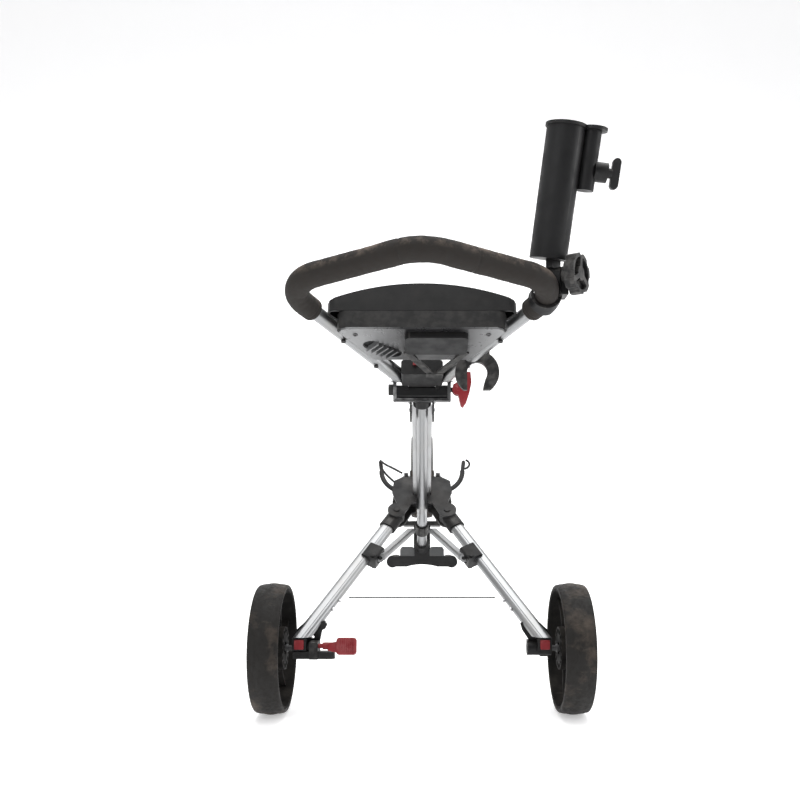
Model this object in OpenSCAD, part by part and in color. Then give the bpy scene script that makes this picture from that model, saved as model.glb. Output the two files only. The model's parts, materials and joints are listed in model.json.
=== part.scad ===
// Three-wheel golf push trolley, standing on its rear wheels with the front fork folded up.
// +X is the user's right, +Y is the way it is pushed, +Z is up. Z is 0 on the floor.

/* [Wheels] */
// Rear wheel diameter
rear_wheel_d = 280; // [270:2:284]
// Rear tyre width
rear_tyre_w = 63; // [56:1:64]
// Distance between the middles of the rear wheels
track = 640; // [638:1:656]
// Front wheel diameter
front_wheel_d = 230; // [200:5:232]
// Front tyre width
front_tyre_w = 58; // [50:1:60]

/* [Frame] */
// Slope of the main tube below the horizontal
main_slope = 38; // [37.5:0.1:38.5]
// Main tube diameter
main_tube_d = 25; // [22:0.5:26]
// Main tube's lower end, measured from the hub
main_tube_end = 604; // [600:1:608]
// Width of the rail that lies on the main tube
rail_w = 44; // [36:1:46]
// Wide and narrow sides of a leg's oval section
leg_w = 33; // [31:0.5:35]
leg_t = 22; // [18:0.5:24]

/* [Handle] */
// Slope of the handle above the horizontal
handle_slope = 18; // [16:0.5:20]
// Handle tube diameter
handle_tube_d = 26; // [22:0.5:27]
// Foam grip diameter
foam_d = 43; // [36:1:46]

/* [Umbrella holder] */
// Outside diameter of the holder
umbrella_d = 64; // [58:1:66]
// Diameter of its bore
umbrella_bore_d = 54; // [40:1:56]
// Length of the holder
umbrella_l = 216; // [190:1:225]

/* [Hidden] */

$fn = 48;
gap = 0.1;             // clearance between pieces that are fixed to each other
run = 0.05;            // radial running clearance of a pin in its bore

// Colours
silver = [0.80, 0.81, 0.82];
steel = [0.66, 0.67, 0.69];
black = [0.07, 0.07, 0.075];
charcoal = [0.17, 0.17, 0.18];
grey = [0.45, 0.46, 0.47];
red = [0.62, 0.10, 0.12];
foam = [0.13, 0.12, 0.115];
tread = [0.20, 0.195, 0.19];

rear_r = rear_wheel_d / 2;
front_r = front_wheel_d / 2;

// Heights and forward distances are measured from the floor and from the rear axle
hub_y = -60;
hub_z = 704;
leg_top = [61, 237, 422];
leg_end = [251, -4, 172];
fork_pivot = [0, 450, 300];
fork_wheel = [0, 497, 522.5];
handle_z = 704;
handle_pivot_z = 713;

// Handle loop in its own plane: X, and the distance up the slope from the pivot
loop_apex = [0, 478.5];
apex_turn = 24.4;
corner_turn = 94.4;
corner_r = 65;
apex_r = 98;
arm_angle = 180 - apex_turn - corner_turn;
loop_corner = [237.6, loop_apex[1] - 237.6 * tan(apex_turn)];
arm_start = [49, loop_corner[1] - (loop_corner[0] - 49) * tan(arm_angle)];

// The frame's origin is under the middle of the whole outline
back_reach = -hub_y + (loop_apex[1] - 9.6) * cos(handle_slope) + foam_d / 2;
front_reach = fork_wheel[1] + front_r;
axle_y = (back_reach - front_reach) / 2;

function unit(v) = v / norm(v);
arm_dir = [cos(arm_angle), sin(arm_angle)];
function flip(p, side) = [side * p[0], p[1], p[2]];

// A point given from the rear axle
module at(p) {
    translate([p[0], axle_y + p[1], p[2]]) children();
}

// Children's +Y runs down the main tube, +Z stands off it, X is the trolley's X
module on_main(t = 0, n = 0, x = 0) {
    y = hub_y + t * cos(main_slope) + n * sin(main_slope);
    z = hub_z - t * sin(main_slope) + n * cos(main_slope);
    at([x, y, z])
        rotate([-main_slope, 0, 0]) children();
}

// Children's -Y runs up the handle, +Z stands off it
module on_handle(s = 0, n = 0, x = 0) {
    at([x, hub_y, handle_z]) rotate([-handle_slope, 0, 0]) translate([0, -s, n]) children();
}

// Children's +Z runs along dir and +Y along side, at a point given from the rear axle
module seat(p, dir, side) {
    ez = unit(dir);
    ey = unit(side - (side * ez) * ez);
    ex = cross(ey, ez);
    at(p) multmatrix([
        [ex[0], ey[0], ez[0], 0],
        [ex[1], ey[1], ez[1], 0],
        [ex[2], ey[2], ez[2], 0],
        [0, 0, 0, 1]
    ]) children();
}

// Rod along X, centred on the origin
module x_rod(r, l) {
    rotate([0, 90, 0]) cylinder(r = r, h = l, center = true);
}

module box(size) {
    cube(size, center = true);
}

// Flat oval, w across and t thick
module oval(w, t) {
    square([w - t, t], center = true);
    for (i = [-1, 1]) translate([i * (w - t) / 2, 0]) circle(d = t);
}

// Rectangle with round corners
module round_rect(w, h, r) {
    square([w - 2 * r, h], center = true);
    square([w, h - 2 * r], center = true);
    for (i = [-1, 1], j = [-1, 1]) translate([i * (w / 2 - r), j * (h / 2 - r)]) circle(r = r);
}

// Plate with round corners, lying flat
module round_plate(w, h, t, r) {
    linear_extrude(t, center = true) round_rect(w, h, r);
}

// ---------------------------------------------------------------- main tube and rail
rail_start = 78;
rail_end = 403;
rail_t = 16;
rail_n = main_tube_d / 2 + gap + rail_t / 2;

module main_tube_hull(extra = 0) {
    on_main(22) rotate([-90, 0, 0]) cylinder(r = main_tube_d / 2 + extra, h = main_tube_end - 22);
}

module main_tube() {
    wall = 2;
    color(silver) difference() {
        main_tube_hull();
        on_main(20) rotate([-90, 0, 0]) cylinder(r = main_tube_d / 2 - wall, h = main_tube_end);
    }
}

module rail_outline() {
    square_l = rail_end - rail_start - rail_w / 2;
    translate([-rail_w / 2, 0]) square([rail_w, square_l]);
    translate([0, square_l]) circle(d = rail_w);
}

module spine_rail() {
    wall = 2;
    color(silver) on_main(rail_start, rail_n) difference() {
        translate([0, 0, -rail_t / 2]) linear_extrude(rail_t) rail_outline();
        translate([0, -1, wall / 2]) linear_extrude(rail_t)
            square([rail_w - 2 * wall, 2 * (rail_end - rail_start - rail_w)], center = true);
        for (x = [-1, 1]) translate([x * (rail_w / 2 - 1), 24, 0]) x_rod(3.2, 8);
    }
}

plate_t = 4;

module rail_bolts() {
    half = rail_w / 2 + gap + plate_t;
    color(steel) for (x = [-1, 1]) {
        on_main(rail_start + 24, rail_n, x * (half + 1.6)) x_rod(4.6, 3);
        on_main(rail_start + 24, rail_n, x * (half - 3)) x_rod(3, 6.2);
        on_main(62, 4, x * (half + 1.6)) x_rod(4.6, 3);
    }
}

// ---------------------------------------------------------------- top hub
hub_w = 105.6;
pin_r = 6;
cam_rod_r = 5;
cam_rod_at = [0, -50, 690];
yoke_in = 106;
yoke_t = 7;

module top_hub() {
    color(black) difference() {
        union() {
            at([0, -41, 685]) rotate([90, 0, 90]) round_plate(50, 26, hub_w, 5);
            for (x = [-1, 1]) at([x * 31.5, hub_y, handle_pivot_z]) {
                x_rod(13, 7);
                translate([0, 0, -12]) box([7, 18, 24]);
            }
            on_main(34) rotate([-90, 0, 0]) cylinder(r = 19.5, h = 27);
            for (x = [-1, 1]) on_main(76, 4, x * (rail_w / 2 + gap + plate_t / 2)) rotate([0, 90, 0])
                round_plate(34, 70, plate_t, 8);
        }
        main_tube_hull(gap);
        on_main(rail_start + 24, rail_n) x_rod(3.2, 70);
        on_main(62, 4) x_rod(3.2, 70);
        at([0, hub_y, handle_pivot_z]) x_rod(pin_r + gap, 200);
        at(cam_rod_at) x_rod(cam_rod_r + gap, 200);
        at([0, hub_y, handle_pivot_z]) x_rod(22, 56);
        on_main(103, 4) box([rail_w + 2 * gap, 82, 40]);
    }
}

// Sheet-metal yoke under and beside the hub
module hub_yoke() {
    half = yoke_in / 2 + yoke_t / 2;
    color(grey) difference() {
        union() {
            at([0, hub_y + 10, 668]) round_plate(2 * half + yoke_t, 32, 5.6, 4);
            for (x = [-1, 1]) {
                at([x * half, hub_y + 10, 683]) box([yoke_t, 32, 34]);
                at([x * half, hub_y, 706]) box([yoke_t, 18, 24]);
                at([x * half, hub_y, handle_pivot_z]) x_rod(10, yoke_t);
            }
        }
        at([0, hub_y, handle_pivot_z]) x_rod(pin_r + gap, 200);
        at(cam_rod_at) x_rod(cam_rod_r + run, 200);
        main_tube_hull(8);
    }
}

module handle_pin() {
    head = yoke_in / 2 + yoke_t;
    color(steel) at([0, hub_y, handle_pivot_z]) {
        x_rod(pin_r, 2 * head);
        for (x = [-1, 1]) translate([x * (head + 2), 0, 0]) x_rod(9, 4);
    }
}

// Clamping rod, with its round nut on the left end and the cam's eye on the right
module cam_rod() {
    nut_x = yoke_in / 2 + yoke_t + gap;
    color(charcoal) at(cam_rod_at) difference() {
        union() {
            translate([6, 0, 0]) x_rod(cam_rod_r, 2 * nut_x + 14);
            translate([-nut_x - 5, 0, 0]) x_rod(11.5, 10);
            translate([nut_x + 15, 0, 0]) rotate([90, 0, 0]) cylinder(r = 7, h = 9, center = true);
        }
        translate([nut_x + 15, 0, 0]) rotate([90, 0, 0]) cylinder(r = 3 + gap, h = 20, center = true);
    }
}

// Red cam lever on a cross pin, hanging down when clamped
lever_x = yoke_in / 2 + yoke_t + gap + 15;
module lever_outline() {
    difference() {
        union() {
            circle(r = 12);
            polygon([[-10.5, 9.5], [-4, -3], [2, -17], [6, -34], [11, -37], [17, -28], [24, -7], [28, 14],
                [26, 36], [18, 36], [12, 28], [0, 16]]);
        }
        circle(r = 3 + gap);
    }
}

module cam_lever() {
    color(red) at([lever_x, cam_rod_at[1], cam_rod_at[2]]) rotate([90, 0, 0]) {
        difference() {
            linear_extrude(24, center = true) lever_outline();
            linear_extrude(10.4, center = true) {
                circle(r = 13.2);
                for (turn = [-45 : 15 : 45]) rotate(turn) translate([-26, -6.5]) square([26, 13]);
            }
        }
        cylinder(r = 3, h = 24, center = true);
    }
}

// ---------------------------------------------------------------- upper bag bracket
saddle_r = 132;
saddle_n = 152;
module upper_bag_bracket() {
    spread = 24;
    color(charcoal) difference() {
        union() {
            on_main(14, saddle_n) rotate([-90, 0, 0]) rotate([0, 0, 90 - spread])
                rotate_extrude(angle = 2 * spread, $fn = 96)
                    translate([saddle_r - 6, 0]) square([12, 26], center = true);
            on_main(14, 22) translate([0, 0, -6]) box([44, 26, 22]);
        }
        main_tube_hull(gap);
        at([0, -41, 685]) box([hub_w + 1, 51, 27]);
        at([0, -50, 683]) box([yoke_in + 2 * yoke_t + 1, 33, 36]);
        on_main(34) rotate([-90, 0, 0]) cylinder(r = 19.6, h = 28);
        on_main(76, 4) box([rail_w + 2 * plate_t + 1, 71, 35]);
        on_main(rail_start + 100, rail_n) box([rail_w + 1, 202, rail_t + 1]);
        at([0, hub_y, handle_pivot_z]) x_rod(21, 130);
    }
}

// ---------------------------------------------------------------- legs
leg_v = leg_end - leg_top;
leg_l = norm(leg_v);
fold_n = unit(cross([1, 0, 0], leg_v));
leg_pin_r = 5;
collar_l = 40;

// Leg frame: +Z down the leg, +Y across its thin side, from the leg's pivot
module on_leg(side, z = 0) {
    seat(flip(leg_top, side), flip(leg_v, side), fold_n) translate([0, 0, z]) children();
}

module leg(side) {
    start = 16;
    wall = 1.8;
    color(silver) difference() {
        on_leg(side, start) linear_extrude(leg_l - start) difference() {
            oval(leg_w, leg_t);
            oval(leg_w - 2 * wall, leg_t - 2 * wall);
        }
        at([0, 0, 0]) box([800, 200, 2 * (leg_end[2] - 6)]);
    }
}

// Moulded collar that caps the leg's top and turns on the hub's pin
module leg_collar(side) {
    color(black) difference() {
        union() {
            on_leg(side, 8) linear_extrude(collar_l) oval(leg_w + 8, leg_t + 8);
            on_leg(side) rotate([90, 0, 0]) cylinder(r = 19, h = leg_t + 8, center = true);
        }
        on_leg(side, 16) linear_extrude(collar_l) oval(leg_w + 2 * gap, leg_t + 2 * gap);
        on_leg(side) rotate([90, 0, 0]) cylinder(r = leg_pin_r + run, h = 60, center = true);
    }
}

// Sliding links that brace the legs: the strut's two ends
block_z = 138;
block_in = 34;
slider_t = 514;
strut_axis = [0.1168, -0.9853, 0.125];
function leg_ex(side) = cross(fold_n, unit(flip(leg_v, side)));
function strut_low(side) =
    flip(leg_top, side) + block_z * unit(flip(leg_v, side)) + side * block_in * leg_ex(side);
function strut_high(side) = [side * 20, hub_y + slider_t * cos(main_slope), hub_z - slider_t * sin(main_slope)];

module on_strut(side, z = 0) {
    seat(strut_low(side), strut_high(side) - strut_low(side), [0, 0, 1]) translate([0, 0, z]) children();
}

module strut_pivot(side, r, l) {
    seat(strut_low(side), flip(strut_axis, -side), [0, 0, 1]) cylinder(r = r, h = l, center = true);
}

module leg_block(side) {
    color(black) difference() {
        on_leg(side, block_z) translate([side * 15, 0, 0])
            linear_extrude(40, center = true) round_rect(38, 36, 5);
        on_leg(side, block_z - 50) linear_extrude(100) oval(leg_w + 2 * gap, leg_t + 2 * gap);
        strut_pivot(side, 4 + run, 80);
        strut_pivot(side, 12, 13);
        on_strut(side, -2) translate([0, 0, 30]) box([30, 22, 60]);
        on_leg(side, block_z) translate([side * (block_in - 11), 0, 12]) rotate([90, 0, 0])
            cylinder(r = 3 + gap, h = 80, center = true);
    }
}

module strut(side) {
    length = norm(strut_high(side) - strut_low(side));
    color(silver) difference() {
        union() {
            on_strut(side, 6) linear_extrude(length - 30) oval(24, 13);
            strut_pivot(side, 9, 11);
        }
        strut_pivot(side, 4 + run, 44);
        on_strut(side, 14) linear_extrude(length) oval(20, 9);
    }
}

// Pivot pins and fixing bolts carried by one leg
module leg_bolts(side) {
    color(steel) {
        strut_pivot(side, 4, 40);
        on_leg(side, block_z) translate([side * (block_in - 11), 0, 12]) rotate([90, 0, 0]) {
            cylinder(r = 3, h = 42, center = true);
            translate([0, 0, -20.5]) cylinder(r = 6, h = 4, center = true);
            translate([0, 0, 20.5]) cylinder(r = 6, h = 4, center = true);
        }
        on_leg(side, leg_l - 83) translate([side * (leg_w / 2 + 1.6), 0, 0]) x_rod(5, 3);
        on_leg(side, leg_l - 110) translate([side * (leg_w / 2 + 2.6), 0, 0]) x_rod(3.4, 5);
    }
}

module strut_slider() {
    color(black) difference() {
        union() {
            on_main(slider_t) rotate([90, 0, 0]) cylinder(r = 17, h = 34, center = true);
            on_main(slider_t, 8) box([28, 34, 20]);
        }
        on_main(slider_t - 60) rotate([-90, 0, 0]) cylinder(r = main_tube_d / 2 + run, h = 120);
    }
}

// ---------------------------------------------------------------- lower hub
// Hub frame: X, up in the plane of the legs, and across that plane
module on_hub(n = 0) {
    seat([0, leg_top[1], leg_top[2]], fold_n, -leg_v + [leg_v[0], 0, 0]) translate([0, 0, n]) children();
}

module hub_outline() {
    difference() {
        union() {
            polygon([[-48, 112], [48, 112], [70, 98], [74, 60], [62, 22], [-62, 22], [-74, 60], [-70, 98]]);
            for (x = [-1, 1]) translate([x * leg_top[0], 0]) circle(r = 22);
            for (x = [-1, 1]) polygon([[x * 40, 40], [x * 82, 6], [x * 74, -16], [x * 44, -16], [x * 22, 30]]);
        }
        circle(r = 30);
        translate([-15, -60]) square([30, 100]);
        translate([-30, -60]) square([60, 60]);
    }
}

plate_gap = leg_t + 8 + 2 * gap;
// Hub with two plates that hold the leg collars between them
module hub_solid(extra = 0) {
    for (n = [-1, 1]) on_hub(n * (plate_gap / 2 + 3)) linear_extrude(6 + 2 * extra, center = true) hub_outline();
    on_hub() linear_extrude(plate_gap + 2, center = true) polygon([[-46, 106], [46, 106], [60, 92],
        [64, 60], [40, 52], [20, 40], [-20, 40], [-40, 52], [-64, 60], [-60, 92]]);
}

module lower_hub() {
    color(charcoal) difference() {
        hub_solid();
        main_tube_hull(gap);
        on_main(0) translate([0, rail_end / 2 + 4, rail_n]) box([rail_w + 1, rail_end + 8, rail_t + 1]);
        on_main(0) translate([0, slider_t / 2, -20]) box([main_tube_d, slider_t, 40]);
        for (side = [-1, 1]) on_leg(side) rotate([90, 0, 0])
            cylinder(r = leg_pin_r + gap, h = 80, center = true);
    }
}

// Pins the legs and the front fork turn on
module frame_pins() {
    half = plate_gap / 2 + 6;
    color(steel) {
        for (side = [-1, 1]) on_leg(side) rotate([90, 0, 0]) {
            cylinder(r = leg_pin_r, h = 2 * half, center = true);
            for (z = [-1, 1]) translate([0, 0, z * (half + 1.5)]) cylinder(r = 8, h = 2.8, center = true);
        }
        at(fork_pivot) {
            x_rod(fork_pin_r, 2 * fork_ear_out);
            for (x = [-1, 1]) translate([x * (fork_ear_out + 1.6), 0, 0]) x_rod(8, 3);
        }
    }
}

// Curved arms that hold the bottom of the bag, and the cradle that joins them
arm_bend = 69;
arm_t = 402;
module bag_arm(side) {
    translate([side * 33, 0, 95]) rotate([90, 0, 0]) rotate([0, 0, side > 0 ? -66 : -180])
        rotate_extrude(angle = 66, $fn = 64) translate([arm_bend, 0]) oval(12, 9);
    translate([side * 102, 0, 95]) rotate([0, side * 7, 0]) linear_extrude(30) oval(10, 9);
    translate([side * 105.7, 0, 125]) sphere(r = 5);
}

module bag_cradle() {
    color(charcoal) difference() {
        on_main(arm_t) {
            for (side = [-1, 1]) bag_arm(side);
            translate([0, 0, 30]) box([122, 12, 9]);
        }
        on_main(0) translate([0, rail_end / 2 + 4, rail_n]) box([rail_w + 1, rail_end + 8, rail_t + 1]);
        hub_solid(gap);
    }
}

// Elastic cords that close the cradle round the bag
module cord(p, q, r) {
    rotate_v = q - p;
    translate(p) rotate([0, acos(rotate_v[2] / norm(rotate_v)), atan2(rotate_v[1], rotate_v[0])])
        cylinder(r = r, h = norm(rotate_v), $fn = 24);
}

module elastic_cords() {
    cord_r = 1.6;
    color(black) on_main(arm_t) {
        cord([-106, -8, 124], [-50, -26, 68], cord_r);
        cord([-103, 8, 112], [-51.8, 25.4, 61.8], cord_r);
        cord([112, -8, 126], [119, -8, 108], cord_r);
        cord([119, -8, 108], [111, -8, 98], cord_r);
    }
}

// ---------------------------------------------------------------- base rest
base_arm_x = 72;
base_z = 297;
base_y = 420;
fork_pin_r = 5;
fork_neck = 52;
fork_ear_out = fork_neck / 2 + 13;
module base_outline() {
    difference() {
        union() {
            square([2 * 78, 28], center = true);
            for (x = [-1, 1]) translate([x * 78, -1]) circle(r = 15.5);
            translate([-20, 0]) square([40, 44]);
        }
        translate([0, -152]) circle(r = 144, $fn = 96);
    }
}

// Bar with one round end, lying along Y
module round_bar(l, w, t) {
    box([w, l, t]);
    translate([0, l / 2, 0]) cylinder(d = w, h = t, center = true);
}

ear_x = (fork_neck / 2 + 1 + fork_ear_out) / 2;
module base_rest() {
    color(charcoal) difference() {
        union() {
            at([0, base_y, base_z]) rotate([90, 0, 0]) linear_extrude(26, center = true) base_outline();
            on_main(main_tube_end - 22) rotate([-90, 0, 0]) cylinder(r = 19, h = 34);
            for (x = [-1, 1]) at(fork_pivot + [x * ear_x, 0, 0]) {
                x_rod(14, 12);
                translate([0, -16, 0]) box([12, 32, 24]);
            }
            for (x = [-1, 1]) at([x * base_arm_x, base_y + 52, base_z + 1]) rotate([3, 0, 0])
                round_bar(104, 16, 12);
        }
        main_tube_hull(gap);
        at(fork_pivot) x_rod(fork_pin_r + gap, 100);
    }
}

// Pale rubber pads on the rest's bar
module base_pads() {
    color(grey) difference() {
        for (x = [-1, 1]) at([x * 39, base_y - 2, base_z + 14]) rotate([90, 0, 0])
            linear_extrude(20, center = true) difference() {
                translate([0, 9]) round_rect(38, 30, 9);
                translate([0, -26]) square([60, 52], center = true);
            }
        at([0, base_y, base_z]) rotate([90, 0, 0]) linear_extrude(27, center = true) base_outline();
        on_main(main_tube_end - 24) rotate([-90, 0, 0]) cylinder(r = 19.2, h = 50);
        for (x = [-1, 1]) at(fork_pivot + [x * ear_x, -16, 0]) box([12.4, 32.4, 24.4]);
    }
}

// ---------------------------------------------------------------- front fork and wheel
fork_v = fork_wheel - fork_pivot;
fork_l = norm(fork_v);
fork_arm_x = 43.5;
fork_crown = 90;
module on_fork(z = 0) {
    seat(fork_pivot, fork_v, [0, 1, 0]) translate([0, 0, z]) children();
}

module fork_arm_outline() {
    end_r = 11;
    translate([0, fork_l]) circle(r = end_r);
    translate([-12, fork_crown]) square([24, 12]);
    polygon([[-12, fork_crown + 6], [12, fork_crown + 6], [10.6, fork_l], [-10.6, fork_l]]);
}

module front_fork() {
    color(charcoal) difference() {
        union() {
            on_fork() for (x = [-1, 1]) translate([x * fork_arm_x, 0, 0]) rotate([90, 0, 90])
                linear_extrude(11, center = true) fork_arm_outline();
            on_fork(fork_crown + 6) box([2 * fork_arm_x, 24, 12]);
            on_fork(fork_crown / 2 + 2) box([fork_neck - 8, 18, fork_crown]);
            at(fork_pivot) x_rod(13, fork_neck);
        }
        at(fork_pivot) x_rod(fork_pin_r + run, 200);
        at(fork_wheel) x_rod(4 + gap, 200);
    }
}

module front_axle() {
    color(steel) at(fork_wheel) {
        x_rod(4, 2 * fork_arm_x + 11);
        for (x = [-1, 1]) translate([x * (fork_arm_x + 7.6), 0, 0]) x_rod(6.5, 4);
    }
}

// Tyre with a flat tread and round shoulders, its axis along Z
module tyre_ring(r, thick, w, shoulder) {
    rotate_extrude($fn = 128) intersection() {
        union() {
            translate([r - thick, -w / 2]) square([thick - shoulder, w]);
            translate([r - thick, shoulder - w / 2]) square([thick, w - 2 * shoulder]);
            for (i = [-1, 1]) translate([r - shoulder, i * (w / 2 - shoulder)]) circle(r = shoulder);
        }
        translate([r - thick, -w / 2]) square([thick, w]);
    }
}

// Rim: outer band, hub barrel and curved webs
module rim_body(r, w, hub_r, hub_w, bore_r, webs, web_w) {
    band = 5;
    rotate_extrude($fn = 128) translate([r - band, -w / 2]) square([band, w]);
    difference() {
        union() {
            rotate_extrude() translate([bore_r, -hub_w / 2]) square([hub_r - bore_r, hub_w]);
            for (i = [0 : webs - 1]) rotate([0, 0, i * 360 / webs]) intersection() {
                linear_extrude(web_w, center = true) difference() {
                    translate([r / 2, -r * 0.9]) circle(r = r, $fn = 96);
                    translate([r / 2 + 1, -r * 0.9 - 7]) circle(r = r, $fn = 96);
                    translate([-2 * r, -2 * r]) square([2 * r, 4 * r]);
                }
                cylinder(r = r - band / 2, h = w, center = true, $fn = 96);
            }
        }
        cylinder(r = bore_r, h = 2 * w, center = true);
    }
}

module front_tyre() {
    color(tread) at(fork_wheel) rotate([0, 90, 0]) tyre_ring(front_r, 12, front_tyre_w, 8);
}

module front_rim() {
    color(charcoal) at(fork_wheel) rotate([0, 90, 0])
        rim_body(front_r - 12 - gap, front_tyre_w - 8, 18, 66, 4 + run, 5, 26);
}

// ---------------------------------------------------------------- rear wheels
// Wheel frame: +Z points away from the trolley
module on_wheel(side) {
    at([side * track / 2, 0, rear_r]) rotate([0, side * 90, 0]) children();
}

tyre_thick = 12;
bearing_r = 14;
axle_r = 6;
ring_r = 38;
pins = 16;

module rear_tyre(side) {
    color(tread) on_wheel(side) tyre_ring(rear_r, tyre_thick, rear_tyre_w, 10);
}

module rear_rim(side) {
    hub_len = 52;
    color(charcoal) on_wheel(side) difference() {
        union() {
            rim_body(rear_r - tyre_thick - gap, rear_tyre_w - 3, 24, hub_len, bearing_r, 5, 30);
            translate([0, 0, -hub_len / 2]) rotate_extrude() translate([20, 0]) square([26, 12]);
        }
        for (i = [0 : pins - 1]) rotate([0, 0, i * 360 / pins])
            translate([0, ring_r, -hub_len / 2 - 1]) cylinder(r = 5.2, h = 10);
    }
}

module bearings(side) {
    inset = 18;
    color(steel) on_wheel(side) for (z = [-1, 1]) translate([0, 0, z * inset - 4]) difference() {
        cylinder(r = bearing_r - 0.02, h = 8);
        translate([0, 0, -1]) cylinder(r = axle_r + run, h = 10);
    }
}

module axle(side) {
    inner = -80;
    outer = 30;
    color(steel) on_wheel(side) difference() {
        union() {
            translate([0, 0, inner]) cylinder(r = axle_r, h = outer - inner);
            translate([0, 0, -31]) cylinder(r = 9, h = 4);
        }
        translate([0, 0, 27]) rotate_extrude() translate([5, 0]) square([4, 1.4]);
    }
}

// ---------------------------------------------------------------- wheel brackets and brakes
bracket_y = 15;
brake_at = [0, 38, 140];
pedal_at = [212, -14, 147];

module bracket(side) {
    plate_left = [[274, 120], [279, 150], [272, 178], [248, 200], [240, 190], [229, 185], [220, 195],
        [211, 196], [206, 188], [210, 180], [217, 176], [219, 166], [222, 152], [222, 120]];
    plate_right = [[274, 120], [279, 150], [272, 178], [248, 200], [222, 200], [214, 190], [218, 176],
        [256, 120]];
    color(black) difference() {
        union() {
            at([0, bracket_y + 2, 0]) rotate([90, 0, 0]) linear_extrude(12, center = true)
                polygon([for (p = side < 0 ? plate_left : plate_right) [side * p[0], p[1]]]);
            at([side * 252, 0, rear_r]) x_rod(15, 52);
            at([side * 253, bracket_y, rear_r]) box([50, 26, 30]);
            at([side * 252, brake_at[1] - 8, rear_r]) box([40, 30, 22]);
            at([side * 262, -8, 151]) box([30, 28, 27]);
            if (side < 0) {
                at([-231, -12, 138]) box([18, 32, 36]);
                at([-214, -14, 128]) round_plate(56, 22, 15, 8);
                at([-250, -12, 128]) box([50, 24, 15]);
            }
        }
        on_wheel(side) translate([0, 0, -120]) cylinder(r = axle_r + gap, h = 110);
        at([side * 249, brake_at[1], rear_r]) x_rod(4 + run, 120);
        if (side < 0) {
            at(flip(pedal_at, -1)) x_rod(5 + run, 60);
            at([-237, bracket_y, 162]) rotate([90, 0, 0]) cylinder(r = 3.5, h = 40, center = true);
            at([-198, -14, 128]) cylinder(r = 3, h = 40, center = true);
        }
        on_leg(side, leg_l - 70) linear_extrude(80) oval(leg_w + 2 * gap, leg_t + 2 * gap);
        at([side * 262, -16, 151]) box([20.4, 40, 20.4]);
    }
}

module wheel_button(side) {
    color(red) at([side * 262, -17.6, 151]) rotate([90, 0, 0]) linear_extrude(16.8, center = true)
        round_rect(20, 20, 2.5);
}

module brake_pedal() {
    color(red) at(flip(pedal_at, -1)) {
        translate([3, 0, 0]) x_rod(5, 42);
        translate([17, -12, 0]) box([14, 20, 9]);
        translate([32, -24, 1]) box([20, 12, 9]);
        translate([53, -28, 4]) rotate([72, 0, 0]) round_plate(44, 37, 11, 8);
    }
}

module brake_pin(side) {
    color(steel) at([side * 258.5, brake_at[1], rear_r]) x_rod(4, 45);
}

// Cable that carries the brake from the left wheel to the right
module brake_cable() {
    color(steel) at([0, 63, 241.5]) x_rod(1.4, 326);
}

// ---------------------------------------------------------------- handle
function ang(v) = atan2(v[1], v[0]);

// The loop is drawn outwards from its apex: apex, top, corner, arm
corner_reach = corner_r * tan(corner_turn / 2);
top_l = norm(loop_apex - loop_corner) - corner_reach - apex_r * tan(apex_turn);
arm_l = norm(loop_corner - arm_start) - corner_reach;

// Short core across a hairline seam between two lengths of the loop
seam = 0.2;
module seam_core(r) {
    rotate([90, 0, 0]) cylinder(r = r - 1.5, h = 6, center = true);
}

// Whole loop lying in the handle's plane, as a tube of radius r
module loop(r, from = 0) {
    on_loop() rotate([0, 0, 90 - apex_turn]) rotate_extrude(angle = 2 * apex_turn, $fn = 96)
        translate([apex_r, 0]) circle(r = r);
    for (side = [0, 1]) on_loop() mirror([side, 0, 0]) {
        on_top() {
            translate([0, -seam, 0]) rotate([90, 0, 0]) cylinder(r = r, h = top_l - 2 * seam);
            seam_core(r);
            translate([0, -top_l, 0]) seam_core(r);
        }
        on_corner() {
            rotate_extrude(angle = corner_turn, $fn = 96) translate([corner_r, 0]) circle(r = r);
            translate([corner_r, -seam, 0]) rotate([90, 0, 0]) cylinder(r = r, h = arm_l - from);
            translate([corner_r, 0, 0]) seam_core(r);
        }
    }
}

// Middle of the apex's bend
module on_loop() {
    on_handle() mirror([0, 1, 0]) translate([0, loop_apex[1] - apex_r / cos(apex_turn), 0]) children();
}

// Right end of the apex's bend, with -Y running outwards
module on_top() {
    rotate([0, 0, 90 - apex_turn]) translate([apex_r, 0, 0]) children();
}

// Middle of the right corner's bend, turned so that X points at the arm's end of it
module on_corner() {
    on_top() translate([-corner_r, -top_l, 0]) rotate([0, 0, -corner_turn]) children();
}

module straight(p, q, r) {
    translate(p) rotate([0, 90, ang(q - p)]) cylinder(r = r, h = norm(q - p));
}

foam_from = 295;
module handle_tube() {
    color(silver) loop(handle_tube_d / 2);
}

module foam_grip() {
    color(foam) difference() {
        loop(foam_d / 2, foam_from);
        loop(handle_tube_d / 2 + gap);
    }
}

module handle_head() {
    color(black) difference() {
        union() {
            at([0, hub_y, handle_pivot_z]) x_rod(18, 54);
            on_handle(18, 0) box([50, 30, 24]);
            on_handle(47, -2) rotate([90, 0, 0]) linear_extrude(54, center = true) round_rect(84, 32, 6);
            on_handle() mirror([0, 1, 0]) for (x = [-1, 1]) mirror([x < 0 ? 1 : 0, 0, 0])
                straight(arm_start, arm_start + 44 * arm_dir, handle_tube_d / 2 + 5);
        }
        on_handle() mirror([0, 1, 0]) for (x = [-1, 1]) mirror([x < 0 ? 1 : 0, 0, 0])
            straight(arm_start - 20 * arm_dir, arm_start + 80 * arm_dir, handle_tube_d / 2 + gap);
        at([0, hub_y, handle_pivot_z]) x_rod(pin_r + run, 200);
        for (x = [-1, 1]) on_handle(60, -31, x * 84) box([82, 160, 60]);
        on_handle(button_s, button_n, button_x) translate([0, 6, 0]) box([8.4, 26, 10.4]);
    }
}

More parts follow.
